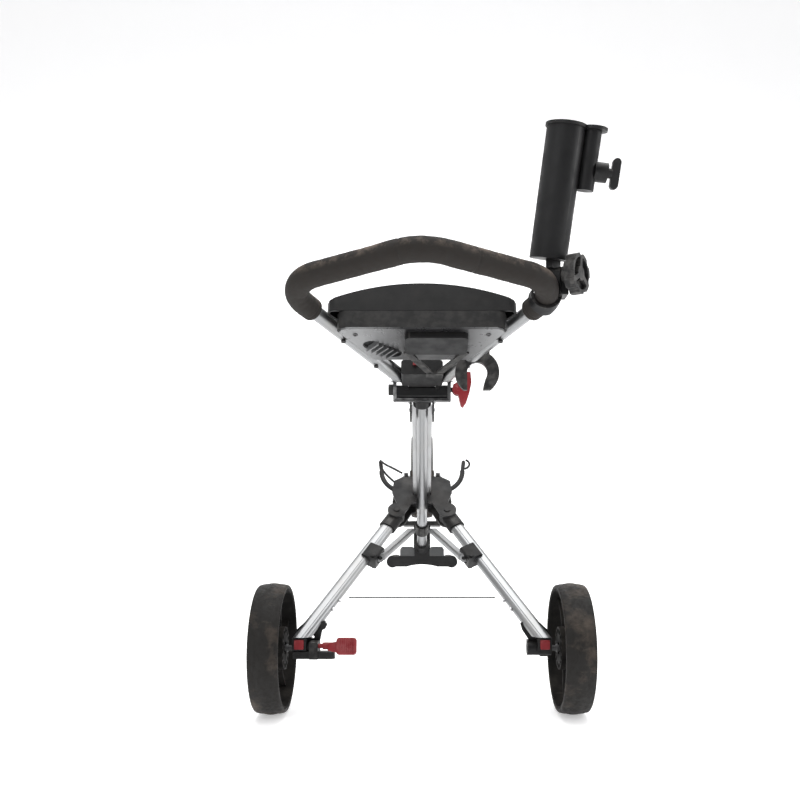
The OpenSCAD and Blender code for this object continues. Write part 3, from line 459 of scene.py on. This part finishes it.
def leg(side):
    """Extruded leg with open ends, the lower one cut level."""
    way = Vector((side * 190, -241, -250)).normalized()
    n = Vector((0, fold_n.y, fold_n.z))
    inward = side * n.cross(way)
    origin = at(side * 61, 237, 422)
    outer = leg_profile(leg_w, leg_t, True)
    inner = leg_profile(leg_w - 2 * leg_wall, leg_t - 2 * leg_wall, False)
    rings = []
    for along, loop in ((16, outer), (leg_l + 30, outer), (leg_l + 30, inner), (16, inner)):
        rings.append([origin + (way * along + inward * x + n * y) * MM for x, y in loop])
    vertices = [v for ring in rings for v in ring]
    a, b = len(outer), len(inner)
    faces = [(j, (j + 1) % a, a + (j + 1) % a, a + j) for j in range(a)]
    faces += [(2 * a + j, 2 * a + (j + 1) % b, 2 * a + b + (j + 1) % b, 2 * a + b + j) for j in range(b)]
    name = "left_leg" if side < 0 else "right_leg"
    piece = mesh_piece(name + "_shell", vertices, faces, LEG_METAL[side])
    shape = bmesh.new()
    shape.from_mesh(piece.data)
    level = Vector((0, 0, 166 * MM))
    cut = bmesh.ops.bisect_plane(shape, geom=shape.verts[:] + shape.edges[:] + shape.faces[:],
                                 plane_co=level, plane_no=(0, 0, -1), clear_outer=True)
    edges = [e for e in shape.edges if e.is_boundary and all(abs(v.co.z - level.z) < 1e-5 for v in e.verts)]
    bmesh.ops.bridge_loops(shape, edges=edges)
    top = [e for e in shape.edges if e.is_boundary]
    bmesh.ops.bridge_loops(shape, edges=top)
    bmesh.ops.recalc_face_normals(shape, faces=shape.faces)
    shape.to_mesh(piece.data)
    shape.free()
    for face in piece.data.polygons:
        face.use_smooth = abs(face.normal.dot(way)) < 0.3
    piece.data.set_sharp_from_angle(angle=math.radians(28))
    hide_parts(name)
    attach(piece, name)


for side in (-1, 1):
    leg(side)

# ---------------------------------------------------------------- grip
handle_slope = math.radians(18)
loop_apex, apex_turn, corner_turn, corner_r, apex_r = 478.5, math.radians(24.4), math.radians(94.4), 65, 98
loop_corner = (237.6, loop_apex - 237.6 * math.tan(apex_turn))
arm_angle = math.pi - apex_turn - corner_turn
arm_way = Vector((math.cos(arm_angle), math.sin(arm_angle)))
foam_r, grip_arm = 21.5, 26.3


def on_handle(x, s, n=0.0):
    """A point in the handle's frame: across, up its slope and off it."""
    return at(x, -60 - s * math.cos(handle_slope) + n * math.sin(handle_slope),
              704 + s * math.sin(handle_slope) + n * math.cos(handle_slope))


def loop_half():
    """Points (x, s) of the right half of the loop, from the middle of the top to the grip's end."""
    points = []
    middle = Vector((0, loop_apex - apex_r / math.cos(apex_turn)))
    for i in range(18):
        a = math.pi / 2 - apex_turn * i / 17
        points.append(middle + apex_r * Vector((math.cos(a), math.sin(a))))
    down = Vector((math.cos(apex_turn), -math.sin(apex_turn)))
    reach = corner_r * math.tan(corner_turn / 2)
    length = loop_corner[0] / math.cos(apex_turn) - reach - apex_r * math.tan(apex_turn)
    start = points[-1]
    points += [start + down * length * i / 60 for i in range(1, 61)]
    inward = Vector((-down.y, down.x)) * -1
    centre = points[-1] + inward * corner_r
    first = math.atan2(-inward.y, -inward.x)
    for i in range(1, 37):
        a = first - corner_turn * i / 36
        points.append(centre + corner_r * Vector((math.cos(a), math.sin(a))))
    start = points[-1]
    points += [start - arm_way * grip_arm * i / 12 for i in range(1, 13)]
    return points


half = loop_half()
loop_points = [Vector((-p.x, p.y)) for p in reversed(half)] + half[1:]
SEAMS = (-33.0, 85.0)


def grip_radius(i, a):
    """Grip's radius with soft dents, two wrap seams and rounded ends that carry a ring."""
    place = loop_points[i]
    dents = 0.9 * noise.noise(path[i] * 30) + 0.35 * noise.noise(Vector((travel[i] / 9, math.cos(a) * 2, math.sin(a) * 2)))
    r = foam_r - 1.0 + dents
    from_end = min(travel[i], total - travel[i])
    if from_end < 3:
        r -= 2.6 * (1 - from_end / 3) ** 2
    if 8 < from_end < 11:
        r -= 1.0
    if place.y > 400 and min(abs(place.x - s) for s in SEAMS) < 1.6:
        r -= 0.7
    return min(r, foam_r - 0.1)


def dense(points, step=1.5):
    """The same path with points at most step mm apart."""
    out = [points[0]]
    for a, b in zip(points, points[1:]):
        parts = max(1, math.ceil((b - a).length / step))
        out += [a + (b - a) * k / parts for k in range(1, parts + 1)]
    return out


loop_points = dense(loop_points)
path = [on_handle(p.x, p.y) for p in loop_points]
travel = [0.0]
for a, b in zip(path, path[1:]):
    travel.append(travel[-1] + (b - a).length / MM)
total = travel[-1]
grip = sweep("grip_foam", path, grip_radius, FOAM, 48)
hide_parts("foam_grip")
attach(grip, "handle")


# ---------------------------------------------------------------- cords and cable
arm_t = 402


def on_main(t, n=0.0, x=0.0):
    """A point down the main tube, off it, and across."""
    return at(x, -60 + t * math.cos(main_slope) + n * math.sin(main_slope),
              704 - t * math.sin(main_slope) + n * math.cos(main_slope))


def curve_path(corners, steps=14):
    """Smooth path through corners."""
    out = []
    ends = [corners[0]] + list(corners) + [corners[-1]]
    for p0, p1, p2, p3 in zip(ends, ends[1:], ends[2:], ends[3:]):
        for k in range(steps):
            t = k / steps
            out.append(0.5 * ((2 * p1) + (p2 - p0) * t + (2 * p0 - 5 * p1 + 4 * p2 - p3) * t * t
                              + (3 * p1 - p0 - 3 * p2 + p3) * t ** 3))
    out.append(corners[-1])
    return out


def cord(name, corners, r=2.7):
    points = [on_main(arm_t + y, z, x) for x, y, z in corners]
    piece = sweep(name, curve_path(points), lambda i, a: r, CORD, 14, (1, 0, 0.2))
    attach(piece, "frame")
    return piece


first_cord = cord("cord_left_upper", [(-106, -8, 124), (-92, -14, 106), (-70, -21, 86), (-50, -26, 68)])
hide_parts("elastic_cords")
cord("cord_left_lower", [(-103, 8, 112), (-90, 15, 96), (-68, 22, 76), (-50, 26, 60)])
cord("cord_right", [(112, -8, 126), (118, -8, 120), (120, -8, 110), (115, -8, 101), (108, -8, 97)])

bead = sweep("cord_bead", [on_main(arm_t + 22, 68 + i, -56) for i in (-5, -4, -2, 0, 2, 4, 5)],
             lambda i, a: (2.6, 3.9, 4.6, 4.8, 4.6, 3.9, 2.6)[i], BEAD, 20, (1, 0, 0.2))
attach(bead, "frame")

cable_y, cable_z, cable_half = 63, 241.5, 163
for side, name in ((-1, "left"), (1, "right")):
    points = [at(side * cable_half * i / 40, cable_y, cable_z) for i in range(41)]
    piece = sweep(f"brake_cable_{name}", points, lambda i, a: 1.5, CABLE, 12, (0, 1, 0))
    if side < 0:
        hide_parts("brake_cable")
    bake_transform(piece)


# ---------------------------------------------------------------- brake pedal
def slab(name, outline, thick, place, material, dish=0.0):
    """Plate with a given outline (mm) in place's X-Y, its edges rounded. The dish argument is not used."""
    shape = bmesh.new()
    rings = []
    inset = min(1.6, thick / 3)
    middle = Vector((sum(x for x, _ in outline), sum(y for _, y in outline))) / len(outline)
    for z, grow in ((-thick / 2, -inset), (-thick / 2 + inset, 0), (thick / 2 - inset, 0), (thick / 2, -inset)):
        ring = []
        for x, y in outline:
            p = Vector((x, y))
            p += (p - middle).normalized() * grow
            ring.append(shape.verts.new(place @ (Vector((p.x, p.y, z)) * MM)))
        rings.append(ring)
    count = len(outline)
    for low, high in zip(rings, rings[1:]):
        for k in range(count):
            shape.faces.new((low[k], low[(k + 1) % count], high[(k + 1) % count], high[k]))
    shape.faces.new(list(reversed(rings[0])))
    shape.faces.new(rings[-1])
    data = bpy.data.meshes.new(name)
    shape.to_mesh(data)
    shape.free()
    for face in data.polygons:
        face.use_smooth = True
    data.set_sharp_from_angle(angle=math.radians(50))
    data.materials.append(material)
    obj = bpy.data.objects.new(name, data)
    bpy.context.scene.collection.objects.link(obj)
    return obj


def round_outline(w, h, r, steps=6):
    points = []
    for cx, cy, start in ((w / 2 - r, h / 2 - r, 0), (r - w / 2, h / 2 - r, 90),
                          (r - w / 2, r - h / 2, 180), (w / 2 - r, r - h / 2, 270)):
        points += [(cx + r * math.cos(math.radians(start + 90 * i / steps)),
                    cy + r * math.sin(math.radians(start + 90 * i / steps))) for i in range(steps + 1)]
    return points


def pedal():
    """Ribbed pedal: a thick stem, a tapered neck and a pad with upright ribs."""
    pivot = at(-212, -14, 147)

    def place(x, y, z, tip=72):
        return Matrix.Translation(pivot + Vector((x, y, z)) * MM) @ Matrix.Rotation(math.radians(tip), 4, "X")

    pad = slab("pedal_pad", round_outline(43, 36, 7), 9, place(53, -28, 4), RED)
    parts = [pad, slab("pedal_neck", [(-13, 7.5), (12, 13), (12, -13), (-13, -7.5)], 7.8, place(26, -20, 1), RED)]
    parts += [slab(f"pedal_rib_{i}", round_outline(1.8, 28, 0.85), 2.0, place(53 + x, -32.4, 5.4), RED)
              for i, x in enumerate((-15.4, -11, -6.6, -2.2, 2.2, 6.6, 11, 15.4))]
    parts.append(sweep("pedal_stem", [pivot + Vector((x, 0, 0)) * MM for x in range(-17, 25, 2)],
                       lambda i, a: 4.9 if i < 9 else 7.4 + 0.6 * (i % 2), RED, 28))
    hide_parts("brake_pedal")
    for part in parts:
        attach(part, "pedal")


pedal()


# ---------------------------------------------------------------- fasteners
def screw(name, body, centre, way, r=4.5, high=2.6):
    """Domed screw head with a hexagon socket, proud of centre along way."""
    turn = axes_to(way)
    vertices, faces = [], []
    rings = [(r, 0.0), (r, high * 0.45), (r * 0.86, high * 0.85), (r * 0.62, high)]
    sides = 24
    for radius, up in rings:
        for k in range(sides):
            a = 2 * math.pi * k / sides
            vertices.append(centre + turn @ Vector((radius * math.cos(a), radius * math.sin(a), up)) * MM)
    for ring in range(len(rings) - 1):
        for k in range(sides):
            a, b = ring * sides + k, ring * sides + (k + 1) % sides
            faces.append((a, b, b + sides, a + sides))
    top = (len(rings) - 1) * sides
    socket = len(vertices)
    for depth in (high, high * 0.35):
        for k in range(sides):
            a = 2 * math.pi * k / sides
            hexagon = r * 0.42 / max(math.cos((a % (math.pi / 3)) - math.pi / 6), 0.5)
            vertices.append(centre + turn @ Vector((hexagon * math.cos(a), hexagon * math.sin(a), depth)) * MM)
    for k in range(sides):
        j = (k + 1) % sides
        faces.append((top + k, top + j, socket + j, socket + k))
        faces.append((socket + k, socket + j, socket + sides + j, socket + sides + k))
    faces.append(tuple(socket + sides + k for k in range(sides)))
    faces.append(tuple(reversed(range(sides))))
    piece = mesh_piece(name, vertices, faces, AXLE)
    piece.data.set_sharp_from_angle(angle=math.radians(35))
    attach(piece, body)


off_plate = (0, -math.sin(handle_slope), -math.cos(handle_slope))
for side, name in ((-1, "left"), (1, "right")):
    screw(f"tray_screw_{name}", "handle", on_handle(side * 118, 268, -37.0), off_plate, 4.5, 2.4)
    screw(f"tray_screw_far_{name}", "handle", on_handle(side * 74, 190, -37.0), off_plate, 4.5, 2.4)

# ---------------------------------------------------------------- stage
def floor_and_wall():
    """Pale floor that curves up into a backdrop."""
    width, near, far, bend, top = 9.0, -6.0, 3.5, 1.6, 6.0
    outline = [(near, 0.0), (far, 0.0)]
    outline += [(far + bend * math.sin(a), bend - bend * math.cos(a))
                for a in (math.pi / 2 * i / 16 for i in range(1, 17))]
    outline.append((far + bend, top))
    vertices = [(x, y, z) for y, z in outline for x in (-width, width)]
    faces = [(2 * i, 2 * i + 1, 2 * i + 3, 2 * i + 2) for i in range(len(outline) - 1)]
    n = Nodes("studio_floor", 0.6)
    n.bump((n.noise(30, 3), 0.02, 1.0))
    n.shader.inputs["Emission Color"].default_value = (1, 1, 1, 1)
    n.shader.inputs["Emission Strength"].default_value = 0.42
    tone = n.paint(n.mix(n.noise(1.5), (0.93, 0.93, 0.93), (0.96, 0.96, 0.96)))
    piece = mesh_piece("studio_floor", vertices, faces, tone)


def area_light(name, place, target, size, power, colour=(1, 1, 1)):
    data = bpy.data.lights.new(name, "AREA")
    data.shape = "RECTANGLE"
    data.size, data.size_y = size
    data.energy = power
    data.color = colour
    lamp = bpy.data.objects.new(name, data)
    bpy.context.scene.collection.objects.link(lamp)
    lamp.location = place
    lamp.rotation_euler = (Vector(target) - Vector(place)).to_track_quat("-Z", "Y").to_euler()


floor_and_wall()
area_light("top_softbox", (0.2, -0.4, 3.0), (0, 0.1, 0.3), (2.6, 2.6), 60)
area_light("front_softbox", (-1.6, -2.6, 1.9), (0, 0, 0.5), (1.8, 1.8), 26)
area_light("right_softbox", (2.6, -0.8, 1.6), (0, 0, 0.5), (1.4, 2.0), 22)
area_light("back_softbox", (0.0, 2.6, 2.4), (0, 3.6, 0.8), (4.0, 2.0), 50)


def studio_world():
    """White to the camera. Surfaces see a room that is darker behind the camera, which shows their shape."""
    world = bpy.data.worlds.new("studio")
    world.use_nodes = True
    tree = world.node_tree
    coords = tree.nodes.new("ShaderNodeTexCoord")
    split = tree.nodes.new("ShaderNodeSeparateXYZ")
    ramp = tree.nodes.new("ShaderNodeValToRGB")
    shift = tree.nodes.new("ShaderNodeMath")
    shift.operation = "MULTIPLY_ADD"
    shift.inputs[1].default_value = 0.5
    shift.inputs[2].default_value = 0.5
    ramp.color_ramp.elements[0].position = 0.12
    ramp.color_ramp.elements[0].color = (0.16, 0.16, 0.17, 1)
    ramp.color_ramp.elements[1].position = 0.62
    ramp.color_ramp.elements[1].color = (1, 1, 1, 1)
    tree.links.new(coords.outputs["Generated"], split.inputs[0])
    tree.links.new(split.outputs["Y"], shift.inputs[0])
    tree.links.new(shift.outputs[0], ramp.inputs["Fac"])
    seen = tree.nodes.new("ShaderNodeLightPath")
    mix = tree.nodes.new("ShaderNodeMix")
    mix.data_type = "RGBA"
    mix.inputs[7].default_value = (1, 1, 1, 1)
    tree.links.new(seen.outputs["Is Camera Ray"], mix.inputs["Factor"])
    tree.links.new(ramp.outputs["Color"], mix.inputs[6])
    tree.links.new(mix.outputs[2], tree.nodes["Background"].inputs["Color"])
    tree.nodes["Background"].inputs["Strength"].default_value = 1.0
    bpy.context.scene.world = world


studio_world()
bpy.context.scene.view_settings.view_transform = "Standard"

lens = bpy.data.cameras.new("camera")
lens.sensor_width = 36
lens.lens = 37.845
lens.shift_x = -0.0275
lens.shift_y = 0.125
camera = bpy.data.objects.new("camera", lens)
bpy.context.scene.collection.objects.link(camera)
camera.location = (0, -1.8553, 0.459)
camera.rotation_euler = (math.radians(90), 0, 0)
bpy.context.scene.camera = camera
